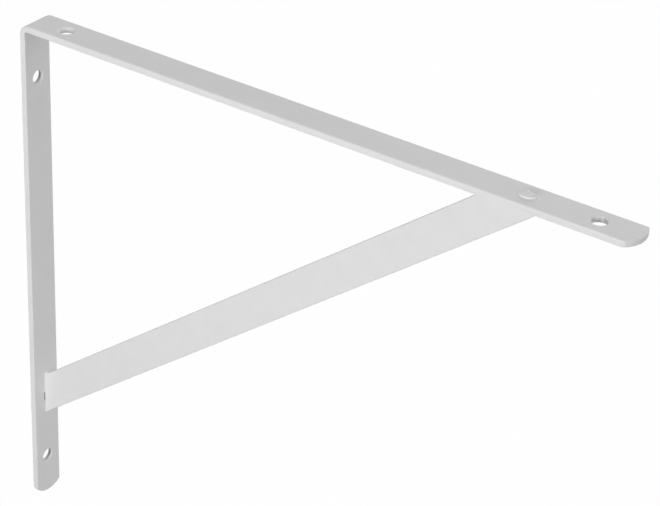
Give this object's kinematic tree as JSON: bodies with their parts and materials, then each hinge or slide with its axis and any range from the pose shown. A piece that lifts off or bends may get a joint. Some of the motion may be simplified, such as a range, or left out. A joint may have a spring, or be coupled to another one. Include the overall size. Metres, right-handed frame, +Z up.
{
  "type": "shelf bracket",
  "caption": "Painted steel shelf bracket: a flat bar bent to a right angle, held by a flat diagonal brace riveted through both arms, with screw holes for wall and shelf.",
  "frame": {"origin": "on the wall face, halfway between the two wall screw holes", "axes": "+X out from the wall along the shelf arm, +Y across the bar, +Z up towards the shelf"},
  "size_m": [0.3014, 0.016, 0.2514],
  "materials": {
    "bar_paint": "satin",
    "brace_paint": "satin"
  },
  "bodies": {
    "root": {"angle_bar": "bar_paint", "diagonal_brace": "brace_paint"}
  },
  "joints": []
}
